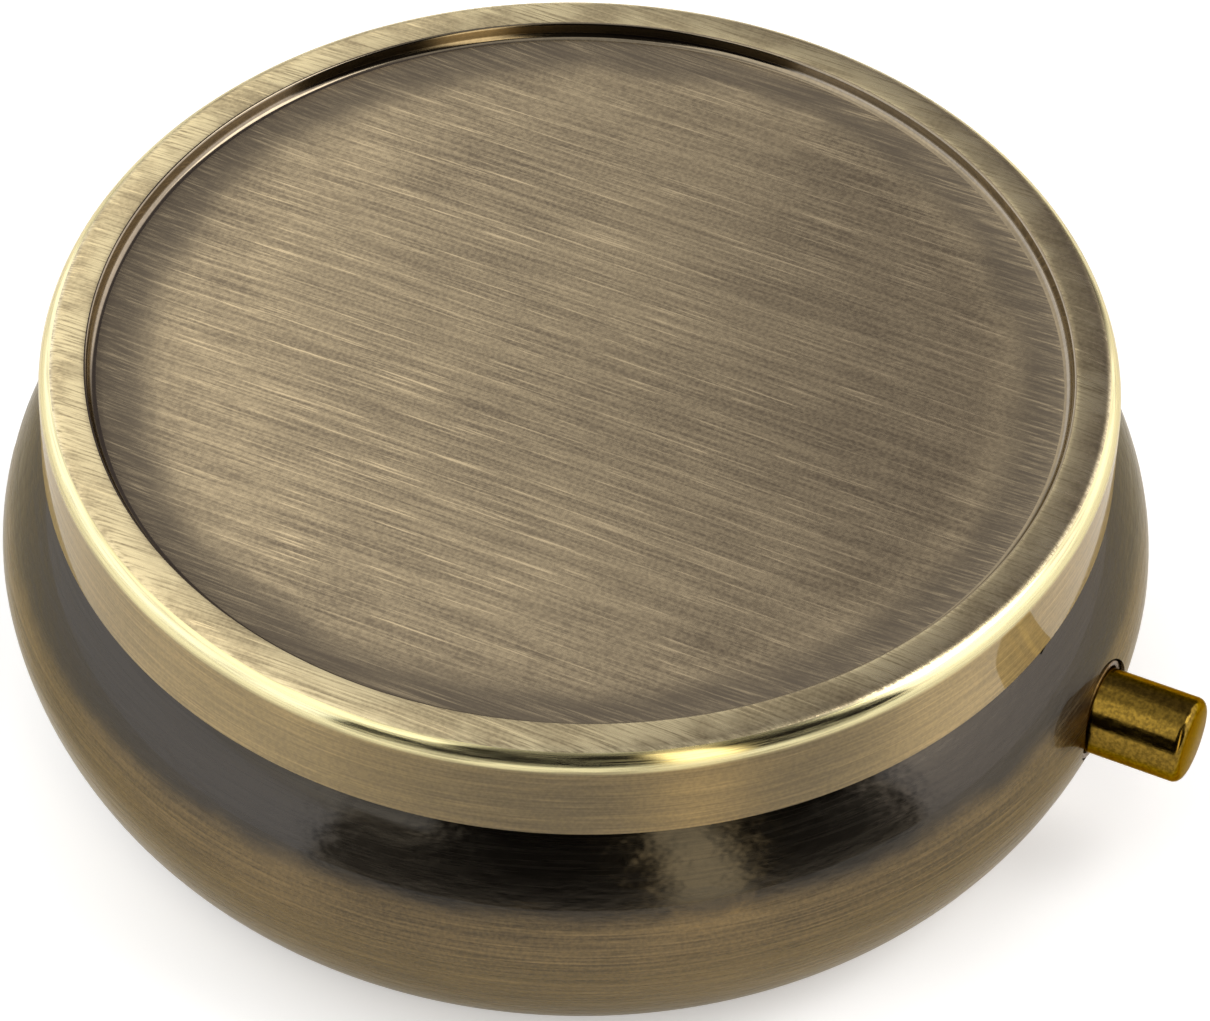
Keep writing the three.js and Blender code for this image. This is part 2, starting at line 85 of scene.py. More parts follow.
RING_OUTER = high("mouth_ring").x
RING_LIP = 20.2
RING_LEDGE = 18.6
RING_WALL = 0.5
RING_BOTTOM = low("mouth_ring").z
RING_TOP = high("mouth_ring").z
LEDGE_TOP = 13.75

TRAY_RADIUS = 17.9
TRAY_INNER = 17.1
TRAY_RIM_RADIUS = high("pill_tray").x
TRAY_BOTTOM = low("pill_tray").z
TRAY_FLOOR = 1.6
TRAY_RIM_BOTTOM = 13.8
TRAY_TOP = high("pill_tray").z
TRAY_DIVIDER_TOP = 14.2
TRAY_DIVIDER = 0.8
DIVIDER_ANGLES = (90, -30, -150)

LID_SHEET = 0.5
LID_RADIUS = high("lid_shell").x
LID_TOP = high("lid_shell").z
LID_SKIRT_BOTTOM = low("lid_shell").z
LID_EDGE_ROUND = 0.9
RECESS_FLOOR = LID_TOP - 0.75
RECESS_CROWN = 0.12
RECESS_FLAT_RADIUS = 17.0
RECESS_WALL_START = 20.65
RECESS_WALL_BEND = 0.35

FRAME_OUTER = high("lid_frame").x
FRAME_INNER = 19.5
FRAME_WALL = 0.45
FRAME_BOTTOM = low("lid_frame").z
FRAME_TOP = high("lid_frame").z
MIRROR_RADIUS = high("lid_mirror").x
MIRROR_BOTTOM = low("lid_mirror").z
MIRROR_TOP = high("lid_mirror").z

HINGE_Y = 22.4
HINGE_Z = 7.5
KNUCKLE_RADIUS = 1.3
HINGE_PIN_RADIUS = 0.6
HINGE_PIN_HALF = high("hinge_pin").x
STRAP_HALF_WIDTH = high("hinge_strap").x
STRAP_SHEET = 0.5
STRAP_OUTER = 22.1
STRAP_TOP = high("hinge_strap").z
STRAP_INNER = 19.6
STRAP_WINDOW = 1.75
NOTCH_GAP = 0.4  # beside the strap
HOOK_GAP = 0.5  # beside the catch

PIN_HEIGHT = 7.5
PIN_RADIUS = 1.9
PIN_TIP = -low("push_button").y
PIN_HOLE_RADIUS = 2.3
PIN_HOLE_INNER = 20.2
PIN_HOLE_OUTER = 29
FLANGE_RADIUS = 2.35
FLANGE_INNER = 23.25
FLANGE_OUTER = 23.65
FLANGE_FLAT = 9.05  # the height of the flat under the catch
STEM_RADIUS = 1.0
STEM_END = -high("push_button").y
CATCH_HALF_WIDTH = high("lid_catch").x
CATCH_OUTER = -low("lid_catch").y
CATCH_BOTTOM = low("lid_catch").z
CATCH_SHEET = 0.5
HOOK_INNER = 21.0

TORSION_RADIUS = 1.05
WIRE_RADIUS = 0.17
SEGMENTS = 256
ON_AXIS = 1e-4  # a smaller radius counts as none
SHARP_EDGE = math.radians(35)
EASED_EDGE = math.radians(40)

# ---- mesh helpers -----------------------------------------------------------------


def add_object(name, mesh, materials):
    """A new object from a bmesh in millimetres."""
    bmesh.ops.recalc_face_normals(mesh, faces=mesh.faces)
    bmesh.ops.scale(mesh, vec=(MM, MM, MM), verts=mesh.verts)
    data = bpy.data.meshes.new(name)
    mesh.to_mesh(data)
    mesh.free()
    data.shade_smooth()
    for material in materials:
        data.materials.append(material)
    made = bpy.data.objects.new(name, data)
    bpy.context.scene.collection.objects.link(made)
    return made


def add_piece(name, mesh, body, materials, node, cuts=(), joins=()):
    """A piece from a bmesh, with others joined or cut away. It stands for a CAD node,
    unless another piece already does."""
    piece = add_object(name, mesh, materials)
    for other in joins:
        boolean(piece, other, "UNION")
    for other in cuts:
        boolean(piece, other, "DIFFERENCE")
    piece.data.set_sharp_from_angle(angle=SHARP_EDGE)
    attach(piece, body)
    if node:
        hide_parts(node)
    return piece


def boolean(piece, mesh, operation):
    tool = add_object("tool", mesh, piece.data.materials)
    modifier = piece.modifiers.new("boolean", "BOOLEAN")
    modifier.operation = operation
    modifier.solver = "EXACT"
    modifier.object = tool
    bpy.context.view_layer.update()
    depsgraph = bpy.context.evaluated_depsgraph_get()
    result = bpy.data.meshes.new_from_object(piece.evaluated_get(depsgraph))
    piece.modifiers.clear()
    piece.data = result
    bpy.data.objects.remove(tool)


def revolve(outline, segments=SEGMENTS, zones=None, matrix=Matrix.Identity(4)):
    """A bmesh turned about Z from (radius, height) points. It closes on itself unless
    the outline starts on the axis. zones gives each stretch of it a material index."""
    mesh = bmesh.new()
    rings = []
    for radius, height in outline:
        if radius < ON_AXIS:
            rings.append([mesh.verts.new(matrix @ Vector((0, 0, height)))] * segments)
            continue
        ring = []
        for i in range(segments):
            angle = 2 * math.pi * i / segments
            point = Vector((radius * math.cos(angle), radius * math.sin(angle), height))
            ring.append(mesh.verts.new(matrix @ point))
        rings.append(ring)
    starts_on_axis = outline[0][0] < ON_AXIS
    next_rings = rings[1:] if starts_on_axis else rings[1:] + rings[:1]
    for k, (ring, other) in enumerate(zip(rings, next_rings)):
        for i in range(segments):
            j = (i + 1) % segments
            corners = list(dict.fromkeys([ring[i], ring[j], other[j], other[i]]))
            if len(corners) > 2:
                face = mesh.faces.new(corners)
                face.material_index = zones(k) if zones else 0
    return mesh


TOWARDS_PIN = Matrix.Translation((0, 0, PIN_HEIGHT)) @ Matrix.Rotation(math.pi / 2, 4, "X")
TOWARDS_X = Matrix.Translation((0, HINGE_Y, HINGE_Z)) @ Matrix.Rotation(math.pi / 2, 4, "Y")


def rounded(corners, steps=5):
    """An outline of (a, b, rounding) corners, with each rounding as an arc."""
    points = []
    count = len(corners)
    for i, (a, b, rounding) in enumerate(corners):
        here = Vector((a, b))
        if rounding <= 0:
            points.append((a, b))
            continue
        before = (Vector(corners[i - 1][:2]) - here).normalized()
        after = (Vector(corners[(i + 1) % count][:2]) - here).normalized()
        half = before.angle(after) / 2
        centre = here + (before + after).normalized() * (rounding / math.sin(half))
        start = here + before * (rounding / math.tan(half)) - centre
        end = here + after * (rounding / math.tan(half)) - centre
        turn = start.angle_signed(end)
        for step in range(steps + 1):
            point = centre + Matrix.Rotation(-turn * step / steps, 2) @ start
            points.append((point.x, point.y))
    return points


def offset(points, distance):
    """A polyline moved to its left by a distance."""
    path = [Vector(p) for p in points]
    sides = []
    for a, b in zip(path, path[1:]):
        run = (b - a).normalized()
        sides.append(Vector((-run.y, run.x)))
    moved = []
    for i, point in enumerate(path):
        before = sides[max(i - 1, 0)]
        after = sides[min(i, len(sides) - 1)]
        shift = (before + after) * (distance / (1 + before.dot(after)))
        moved.append(tuple(point + shift))
    return moved


def along(steps, point):
    """Points from a function of 0 to 1."""
    return [point(i / steps) for i in range(steps + 1)]


def quarter_sin(t):
    return math.sin(t * math.pi / 2)


def quarter_cos(t):
    return math.cos(t * math.pi / 2)


def arc(centre, radius, start, end, steps):
    """Points of an arc between two angles in degrees."""
    return along(steps, lambda t: (
        centre[0] + radius * math.cos(math.radians(start + (end - start) * t)),
        centre[1] + radius * math.sin(math.radians(start + (end - start) * t)),
    ))


def loft(rings):
    """A closed solid through rings of equally many points."""
    mesh = bmesh.new()
    loops = [[mesh.verts.new(point) for point in ring] for ring in rings]
    mesh.faces.new(loops[0])
    mesh.faces.new(loops[-1])
    for loop, other in zip(loops, loops[1:]):
        for i in range(len(loop)):
            j = (i + 1) % len(loop)
            mesh.faces.new((loop[i], loop[j], other[j], other[i]))
    return mesh


def bar(outline, x0, x1, edge=0.05):
    """A bar along X with an outline in Y and Z, its sharp edges slightly rounded."""
    mesh = loft([[(x, y, z) for y, z in outline] for x in (x0, x1)])
    bmesh.ops.recalc_face_normals(mesh, faces=mesh.faces)
    if edge:
        edges = [e for e in mesh.edges if e.calc_face_angle(0) > EASED_EDGE]
        bmesh.ops.bevel(
            mesh, geom=edges, offset=edge, segments=2, profile=0.5, affect="EDGES"
        )
    return mesh


def block(corner, opposite):
    """A plain box for cutting."""
    (x0, y0, z0), (x1, y1, z1) = corner, opposite
    return bar([(y0, z0), (y1, z0), (y1, z1), (y0, z1)], x0, x1, edge=0)


def tube(points, radius, sides=14):
    """A round wire along points, with rounded ends."""
    path = [Vector(point) for point in points]
    rings = []
    side = None
    for i, point in enumerate(path):
        run = (path[min(i + 1, len(path) - 1)] - path[max(i - 1, 0)]).normalized()
        side = run.orthogonal() if side is None else side - run * side.dot(run)
        side.normalize()
        other = run.cross(side)
        shares = [(0, 1.0)]
        if i == 0:
            shares = [(-0.9, 0.45), (-0.6, 0.8), (0, 1.0)]
        elif i == len(path) - 1:
            shares = [(0, 1.0), (0.6, 0.8), (0.9, 0.45)]
        for ahead, width in shares:
            ring = []
            for k in range(sides):
                angle = 2 * math.pi * k / sides
                spoke = side * math.cos(angle) + other * math.sin(angle)
                ring.append(point + run * (ahead * radius) + spoke * (width * radius))
            rings.append(ring)
    return loft(rings)


# ---- material helpers -------------------------------------------------------------


class Graph:
    """A material's node tree, with short calls for the nodes used here."""

    def __init__(self, name):
        self.material = bpy.data.materials.new(name)
        self.material.use_nodes = True
        self.tree = self.material.node_tree
        self.tree.nodes.clear()
        self.shader = self.add("ShaderNodeBsdfPrincipled")
        output = self.add("ShaderNodeOutputMaterial")
        self.tree.links.new(self.shader.outputs[0], output.inputs["Surface"])

    def add(self, kind, inputs=None, **settings):
        node = self.tree.nodes.new(kind)
        for key, value in settings.items():
            setattr(node, key, value)
        for key, value in (inputs or {}).items():
            self.put(node.inputs[key], value)
        return node

    def put(self, socket, value):
        if isinstance(value, bpy.types.NodeSocket):
            self.tree.links.new(value, socket)
        else:
            socket.default_value = value

    def math(self, operation, *values):
        node = self.add("ShaderNodeMath", dict(enumerate(values)), operation=operation)
        return node.outputs[0]

    def times(self, *values):
        product = values[0]
        for value in values[1:]:
            product = self.math("MULTIPLY", product, value)
        return product

    def blend(self, *pairs):
        """The sum of values, each times its share."""
        total = self.times(*pairs[0])
        for value, share in pairs[1:]:
            total = self.math("MULTIPLY_ADD", value, share, total)
        return total

    def vector(self, operation, *values):
        inputs = dict(enumerate(values))
        node = self.add("ShaderNodeVectorMath", inputs, operation=operation)
        return node.outputs[1 if operation == "DOT_PRODUCT" else 0]

    def position(self):
        """The point on the object, in millimetres."""
        coordinates = self.add("ShaderNodeTexCoord").outputs["Object"]
        return self.vector("MULTIPLY", coordinates, (1 / MM, 1 / MM, 1 / MM))

    def split(self, vector):
        return self.add("ShaderNodeSeparateXYZ", {0: vector}).outputs

    def distance(self, x, y):
        """The distance from the Z axis."""
        return self.math("SQRT", self.blend((x, x), (y, y)))

    def join(self, x, y, z):
        return self.add("ShaderNodeCombineXYZ", {0: x, 1: y, 2: z}).outputs[0]

    def noise(self, vector, scale=1.0, detail=2.0, w=None):
        # W exists only once the node is four-dimensional
        node = self.add("ShaderNodeTexNoise", noise_dimensions="3D" if w is None else "4D")
        inputs = {"Vector": vector, "Scale": scale, "Detail": detail}
        if w is not None:
            inputs["W"] = w
        for key, value in inputs.items():
            self.put(node.inputs[key], value)
        return node.outputs[0]

    def ramp(self, value, start, end, to_start=0.0, to_end=1.0):
        inputs = {0: value, 1: start, 2: end, 3: to_start, 4: to_end}
        node = self.add("ShaderNodeMapRange", inputs, interpolation_type="SMOOTHSTEP")
        return node.outputs[0]

    def mix(self, factor, a, b):
        node = self.add("ShaderNodeMix", {0: factor, 6: a, 7: b}, data_type="RGBA")
        return node.outputs[2]

    def bump(self, height, strength, distance):
        inputs = {"Height": height, "Strength": strength, "Distance": distance}
        return self.add("ShaderNodeBump", inputs).outputs[0]

    def set(self, **values):
        for key, value in values.items():
            self.put(self.shader.inputs[key.replace("_", " ")], value)


def rgb(red, green, blue):
    """A colour from its screen values, 0 to 255."""
    linear = []
    for value in (red, green, blue):
        share = value / 255
        if share <= 0.04045:
            linear.append(share / 12.92)
        else:
            linear.append(((share + 0.055) / 1.055) ** 2.4)
    return (*linear, 1)


# ---- metals -----------------------------------------------------------------------

GRAZING_TINT = rgb(220, 208, 182)  # brass keeps its colour at grazing angles


def brush_lines(graph, circular):
    """Brush lines from fine to broad, along Y or round the Z axis. Each has its noise
    scale across and along the lines, per millimetre."""
    where = graph.position()
    x, y, z = graph.split(where)
    radius = graph.distance(x, y)

    def lines(across, length):
        if circular:
            reach = graph.math("DIVIDE", BELLY_RADIUS * length, radius)
            round_x, round_y = graph.times(x, reach), graph.times(y, reach)
            vector = graph.join(round_x, round_y, graph.times(z, across))
            return graph.noise(vector, w=graph.times(radius, across))
        return graph.noise(graph.vector("MULTIPLY", where, (across, length, across)))

    return where, lines(11, 0.24), lines(5, 0.12), lines(1.8, 0.06)


def brushed(
    name, tan, dark, circular, roughness, anisotropy,
    coat=0.3, worn=None, rubbed=0.0, painted_shade=None, uneven=0.0,
):
    """Brushed antique brass under clear lacquer. Two optional functions take the graph and
    the
    fine brush lines: worn gives a mask of bare metal, and the other a mask of painted
    shade, each with its colour. rubbed is how much smoother the bare metal is, and uneven
    is how much hand buffing has left the surface wavy."""
    graph = Graph(name)
    where, fine, medium, broad = brush_lines(graph, circular)
    lines = graph.blend((fine, 0.5), (medium, 0.34), (broad, 0.16))
    blotch = graph.noise(where, scale=0.15, detail=3.0)
    speckle = graph.noise(where, scale=6.0, detail=3.0)
    tone = graph.blend(
        (graph.ramp(lines, 0.36, 0.64), 0.56),
        (graph.ramp(blotch, 0.3, 0.7), 0.18),
        (graph.ramp(speckle, 0.38, 0.62), 0.26),
    )
    colour = graph.mix(tone, dark, tan)
    scratches = graph.times(graph.ramp(fine, 0.6, 0.68), graph.ramp(medium, 0.4, 0.6))
    scratched = 0.2 if circular else 0.7
    bright = (*(min(channel * 1.5, 1.0) for channel in tan[:3]), 1)
    colour = graph.mix(graph.times(scratches, scratched), colour, bright)
    rough = graph.ramp(fine, 0.2, 0.8, roughness + 0.05, roughness - 0.05)
    # painted shade: a darker colour mixed in to stand in for shade and dark reflections
    if painted_shade:
        painted_shade_mask, tint = painted_shade(graph, fine)
        colour = graph.mix(painted_shade_mask, colour, tint)
    if worn:
        bare, tint = worn(graph, fine)
        colour = graph.mix(bare, colour, tint)
        rough = graph.math("SUBTRACT", rough, graph.times(bare, rubbed))
    relief = lines
    if uneven:
        waves = graph.noise(graph.vector("MULTIPLY", where, (0.8, 0.8, 2.4)))
        relief = graph.blend((lines, 1.0), (waves, uneven))
    tangent = graph.add(
        "ShaderNodeTangent", direction_type="RADIAL", axis="Z" if circular else "Y"
    )
    graph.set(
        Base_Color=colour,
        Metallic=1.0,
        Specular_Tint=GRAZING_TINT,
        Roughness=rough,
        Anisotropic=anisotropy,
        Anisotropic_Rotation=0.25 if circular else 0.0,
        Tangent=tangent.outputs[0],
        Normal=graph.bump(relief, 0.22 if circular else 0.12, 0.02 * MM),
        Coat_Weight=coat,
        Coat_Roughness=0.04,
    )
    return graph.material


def worn_round(graph, lines):
    """Bare yellow brass on the round of the lid's edge."""
    height = graph.split(graph.position())[2]
    above = graph.ramp(height, LID_TOP - 1.05, LID_TOP - 0.65)
    below = graph.ramp(height, LID_TOP - 0.2, LID_TOP, 1.0, 0.3)
    patchy = graph.ramp(lines, 0.25, 0.6, 0.6, 1.0)
    return graph.times(above, below, patchy), rgb(204, 194, 146)


def worn_rim(graph, lines):
    """The rim's top, rubbed lighter in patches."""
    cloud = graph.noise(graph.position(), scale=0.35, detail=4.0)
    patchy = graph.times(graph.ramp(cloud, 0.35, 0.65), graph.ramp(lines, 0.3, 0.6))
    return patchy, rgb(206, 192, 154)


def painted_shade_under_lid(graph, lines):
    """Painted shade on the shoulder under the lid: near-black colour standing in for the
    dark reflection there.
    """
    height = graph.split(graph.position())[2]
    cloud = graph.noise(graph.position(), scale=0.3, detail=3.0)
    edge = graph.blend((cloud, 1.2), (lines, 0.8), (height, 1.0))
    return graph.ramp(edge, 10.2, 11.4, 0.0, 0.95), rgb(52, 48, 42)


def painted_corner_shade(graph, lines):
    """Painted shade where the disc meets the recess wall: a darker colour in the corner."""
    x, y, _ = graph.split(graph.position())
    radius = graph.distance(x, y)
    cloud = graph.noise(graph.position(), scale=0.25, detail=3.0)
    edge = graph.blend((cloud, 2.0), (lines, 1.2), (radius, 1.0))
    kept = graph.ramp(lines, 0.3, 0.7, 1.0, 0.55)
    return graph.times(graph.ramp(edge, 19.6, 21.2), kept), rgb(98, 88, 75)


# the disc gets painted shade in its corner at the recess wall
disc_metal = brushed(
    "brushed_disc", rgb(178, 161, 131), rgb(106, 94, 78),
    circular=False, roughness=0.28, anisotropy=0.75, painted_shade=painted_corner_shade,
)
rim_metal = brushed(
    "brushed_rim", rgb(190, 174, 138), rgb(130, 117, 91),
    circular=False, roughness=0.3, anisotropy=0.6, worn=worn_rim,
)
wall_metal = brushed(
    "polished_recess_wall", rgb(132, 119, 98), rgb(104, 94, 78),
    circular=True, roughness=0.12, anisotropy=0.2, coat=0.4,
)
skirt_metal = brushed(
    "brushed_skirt", rgb(150, 128, 84), rgb(112, 96, 63),
    circular=True, roughness=0.48, anisotropy=1.0, coat=0.5, worn=worn_round, rubbed=0.34,
)
# the belly gets painted shade: a dark band under the lid for the dark reflection there
belly_metal = brushed(
    "brushed_belly", rgb(112, 94, 64), rgb(70, 60, 44),
    circular=True, roughness=0.26, anisotropy=0.9, coat=0.25, painted_shade=painted_shade_under_lid, uneven=10.0,
)
inner_metal = brushed(
    "satin_inner_brass", rgb(190, 170, 122), rgb(158, 140, 98),
    circular=True, roughness=0.34, anisotropy=0.3,
)


def plain_metal(name, light, dark, roughness, grain=2.0, grazing=(1, 1, 1, 1)):
    """Pressed or drawn metal with faint mottling and fine scratches."""
    graph = Graph(name)
    where = graph.position()
    mottle = graph.noise(where, scale=grain, detail=4.0)
    scratches = graph.noise(graph.vector("MULTIPLY", where, (14, 1.5, 5)))
    graph.set(
        Base_Color=graph.mix(graph.ramp(mottle, 0.3, 0.7), dark, light),
        Metallic=1.0,
        Specular_Tint=grazing,
        Roughness=graph.ramp(scratches, 0.25, 0.75, roughness + 0.07, roughness - 0.05),
        Normal=graph.bump(scratches, 0.08, 0.01 * MM),
    )
    return graph.material


bright_brass = plain_metal(
    "turned_brass", rgb(124, 99, 38), rgb(90, 71, 26),
    roughness=0.16, grain=6.0, grazing=rgb(196, 174, 128),
)
bush_brass = plain_metal(
    "darkened_brass", rgb(112, 88, 48), rgb(84, 64, 36), roughness=0.35, grain=5.0
)
nickel_steel = plain_metal(
    "nickel_steel", rgb(164, 161, 154), rgb(148, 145, 138), roughness=0.27
)
spring_wire = plain_metal(
    "spring_wire", rgb(170, 172, 176), rgb(126, 128, 134), roughness=0.22, grain=6.0
)


def tray_plastic():
    graph = Graph("milky_polypropylene")
    where = graph.position()
    cloud = graph.noise(where, scale=0.25, detail=3.0)
    grain = graph.noise(where, scale=9.0, detail=2.0)
    graph.set(
        Base_Color=graph.mix(cloud, rgb(226, 229, 227), rgb(240, 241, 238)),
        Roughness=graph.ramp(grain, 0.3, 0.7, 0.34, 0.46),
        Subsurface_Weight=0.35,
        Subsurface_Radius=(0.0012, 0.0012, 0.001),
        Subsurface_Scale=1.0,
        IOR=1.49,
        Normal=graph.bump(grain, 0.05, 0.02 * MM),
    )
    return graph.material


def mirror_glass():
    graph = Graph("mirror_glass")
    haze = graph.noise(graph.position(), scale=0.3, detail=3.0)
    graph.set(
        Base_Color=graph.mix(haze, rgb(224, 230, 230), rgb(234, 238, 238)),
        Metallic=1.0,
        Roughness=graph.ramp(haze, 0.3, 0.7, 0.02, 0.05),
    )
    return graph.material


plastic = tray_plastic()
mirror = mirror_glass()

# ---- bowl, ring and tray ----------------------------------------------------------


def make_bowl():
    foot = BELLY_RADIUS - FOOT_RADIUS
    power = 2 / LOWER_CURVE
    lower = along(40, lambda t: (
        FOOT_RADIUS + foot * quarter_sin(t) ** power,
        BELLY_HEIGHT * (1 - max(quarter_cos(t), 0) ** power),
    ))
    rise = SHOULDER_HEIGHT - BELLY_HEIGHT

    def shoulder(t):
        """It leans in by the same angle for each step of height."""
        inwards = -rise / SHOULDER_LEAN * math.log(math.cos(SHOULDER_LEAN * t))
        return BELLY_RADIUS - inwards, BELLY_HEIGHT + rise * t

    # its last stretch is straight and long enough for the inner side to turn
    upper = [*along(40, lambda t: shoulder(0.92 * t)), shoulder(1)]
    neck = rounded([
        (*upper[-1], 0),
        (NECK_RADIUS, SHOULDER_HEIGHT, 0.12),
        (NECK_RADIUS, NECK_TOP, 0),
    ])
    outer = [(0, 0), (FOOT_RADIUS * 0.5, 0), *lower, *upper[1:], *neck[1:]]
    outline = outer + offset(outer, BOWL_SHEET)[::-1]
    pin_hole = [
        (0, PIN_HOLE_INNER),
        (PIN_HOLE_RADIUS, PIN_HOLE_INNER),
        (PIN_HOLE_RADIUS, PIN_HOLE_OUTER),
        (0, PIN_HOLE_OUTER),
    ]
    hinge = HINGE_OPENING_HALF
    strap = STRAP_HALF_WIDTH + NOTCH_GAP
    hook = CATCH_HALF_WIDTH + HOOK_GAP
    above = NECK_TOP + 1
    lap = 0.02  # so that the cuts meet each other and just clear the neck
    cuts = [
        revolve(pin_hole, 96, matrix=TOWARDS_PIN),
        block(
            (-hinge, HINGE_OPENING_INNER, HINGE_OPENING_BOTTOM),
            (hinge, OUTSIDE, HINGE_OPENING_TOP),
        ),
        block(
            (-strap, NECK_RADIUS + lap, HINGE_OPENING_TOP - lap),
            (strap, OUTSIDE, above),
        ),
        block(
            (-hook, -HOOK_OPENING_OUTER, HOOK_OPENING_BOTTOM),
            (hook, -HOOK_OPENING_INNER, above),
        ),
    ]
    mesh = revolve(outline, zones=lambda k: 0 if k < len(outer) else 1)
    metals = [belly_metal, inner_metal]
    add_piece("bowl_shell", mesh, "base", metals, "bowl", cuts)


def make_mouth_ring():
    outline = rounded([
        (RING_OUTER, RING_BOTTOM, 0.08),
        (RING_OUTER, RING_TOP, 0.3),
        (RING_LIP, RING_TOP, 0.15),
        (RING_LIP, LEDGE_TOP, 0.05),
        (RING_LEDGE, LEDGE_TOP, 0.1),
        (RING_LEDGE, LEDGE_TOP - RING_WALL, 0.1),
        (RING_LIP + RING_WALL, LEDGE_TOP - RING_WALL, 0),
        (RING_LIP + RING_WALL, RING_TOP - RING_WALL, 0),
        (RING_OUTER - RING_WALL, RING_TOP - RING_WALL, 0),
        (RING_OUTER - RING_WALL, RING_BOTTOM, 0.08),
    ])
    strap = STRAP_HALF_WIDTH + NOTCH_GAP
    hook = CATCH_HALF_WIDTH + HOOK_GAP
    below, above, outside = 12, 16, 24  # all clear of the ring
    strap_side = STRAP_OUTER - STRAP_SHEET - NOTCH_GAP
    cuts = [
        block((-strap, strap_side, below), (strap, outside, above)),
        block((-hook, -outside, below), (hook, 0.02 - RING_LIP, above)),
    ]
    mesh = revolve(outline)
    add_piece("trim_ring", mesh, "base", [inner_metal], "mouth_ring", cuts)


def pocket_ring(inset, height, turn):
    """A compartment's outline: two walls 120 degrees apart and the rim, rounded."""
    wall = TRAY_DIVIDER / 2 + inset
    rim = TRAY_INNER - inset
    inner_round = max(1.1 - inset, 0.2)
    outer_round = max(1.3 - inset, 0.2)
    reach = math.sqrt((rim - outer_round) ** 2 - (wall + outer_round) ** 2)
    corner = Vector((reach, -(wall + outer_round)))
    corner.rotate(Matrix.Rotation(math.radians(60), 2))
    facing = math.degrees(math.atan2(corner.y, corner.x))
    inner = (wall + inner_round) / math.sin(math.radians(60))
    outline = [
        *arc((inner, 0), inner_round, 210, 150, 8),
        *arc(corner, outer_round, 150, facing, 8),
        *arc((0, 0), rim, facing, -facing, 40)[1:-1],
        *arc((corner.x, -corner.y), outer_round, -facing, -150, 8),
    ]
    spin = Matrix.Rotation(math.radians(turn), 2)
    return [(*(spin @ Vector(point)), height) for point in outline]


def make_pocket(turn):
    fillet, edge = 0.8, 0.22
    levels = [
        *along(6, lambda t: (
            fillet * (1 - quarter_sin(t)), TRAY_FLOOR + fillet * (1 - quarter_cos(t))
        )),
        *along(4, lambda t: (
            -edge * (1 - quarter_cos(t)), TRAY_DIVIDER_TOP - edge * (1 - quarter_sin(t))
        )),
        (-edge, TRAY_TOP + 1),
    ]
    return loft([pocket_ring(inset, height, turn) for inset, height in levels])


def make_tray():
    outline = rounded([
        (0, TRAY_BOTTOM, 0),
        (TRAY_RADIUS, TRAY_BOTTOM, 0.9),
        (TRAY_RADIUS, TRAY_RIM_BOTTOM, 0.15),
        (TRAY_RIM_RADIUS, TRAY_RIM_BOTTOM, 0.15),
        (TRAY_RIM_RADIUS, TRAY_TOP, 0.25),
        (TRAY_INNER + 0.5, TRAY_TOP, 0.12),
        (TRAY_INNER + 0.3, TRAY_DIVIDER_TOP, 0.05),
        (0, TRAY_DIVIDER_TOP, 0),
    ])
    cuts = [make_pocket(angle + 60) for angle in DIVIDER_ANGLES]
    mesh = revolve(outline)
    add_piece("tray_cup", mesh, "base", [plastic], "pill_tray", cuts)


# ---- lid --------------------------------------------------------------------------

LID_ZONES = [disc_metal, wall_metal, rim_metal, skirt_metal, inner_metal]


def make_lid():
    """The lid: a crowned disc that dishes up into a steep wall, a rim and a skirt."""
    flat = RECESS_FLAT_RADIUS
    disc = along(16, lambda t: (
        flat * t, RECESS_FLOOR + RECESS_CROWN * (1 - t * t)
    ))
    slope = -2 * RECESS_CROWN / flat
    reach = RECESS_WALL_START - flat
    dish_slope = 0.07
    dish = along(12, lambda t: (
        flat + reach * t,
        RECESS_FLOOR + reach * (slope * t + (dish_slope - slope) * t * t / 2),
    ))
    lean, steep = math.atan(dish_slope), math.radians(76)
    edge = 0.12
    bend = RECESS_WALL_BEND
    wall = along(16, lambda t: (
        dish[-1][0] + bend * (math.sin(lean + (steep - lean) * t) - math.sin(lean)),
        dish[-1][1] + bend * (math.cos(lean) - math.cos(lean + (steep - lean) * t)),
    ))
    height = LID_TOP - edge * (1 - math.cos(steep)) - wall[-1][1]
    wall.append((wall[-1][0] + height / math.tan(steep), wall[-1][1] + height))
    top = along(6, lambda t: (
        wall[-1][0] + edge * (math.sin(steep) - math.sin(steep * (1 - t))),
        LID_TOP - edge * (1 - math.cos(steep * (1 - t))),
    ))
    tilt = math.radians(5)
    round_ = LID_EDGE_ROUND
    rim_end = LID_RADIUS - round_ * (1 - math.sin(tilt))
    drop = (rim_end - top[-1][0]) * math.tan(tilt) / 2
    rim = along(6, lambda t: (
        top[-1][0] + (rim_end - top[-1][0]) * t, LID_TOP - drop * t * t
    ))
    turn = math.pi / 2 - tilt
    shoulder = along(16, lambda t: (
        LID_RADIUS - round_ * (1 - math.sin(tilt + turn * t)),
        LID_TOP - drop - round_ * (math.cos(tilt) - math.cos(tilt + turn * t)),
    ))
    lip = 0.14
    skirt = [(LID_RADIUS, LID_SKIRT_BOTTOM + lip), (LID_RADIUS - lip, LID_SKIRT_BOTTOM)]
    stretches = [
        disc, dish[1:], wall[1:] + top[1:], rim[1:] + shoulder[1:5], shoulder[5:] + skirt
    ]
    zone_of = []
    for zone, points in zip((0, 0, 1, 2, 3), stretches):
        zone_of += [zone] * len(points)
    outer = [point for points in stretches for point in points]
    outline = outer + offset(outer[:-1], -LID_SHEET)[::-1]
    mesh = revolve(outline, zones=lambda k: zone_of[k + 1] if k + 1 < len(outer) else 4)
    add_piece("lid_cover", mesh, "lid", LID_ZONES, "lid_shell")


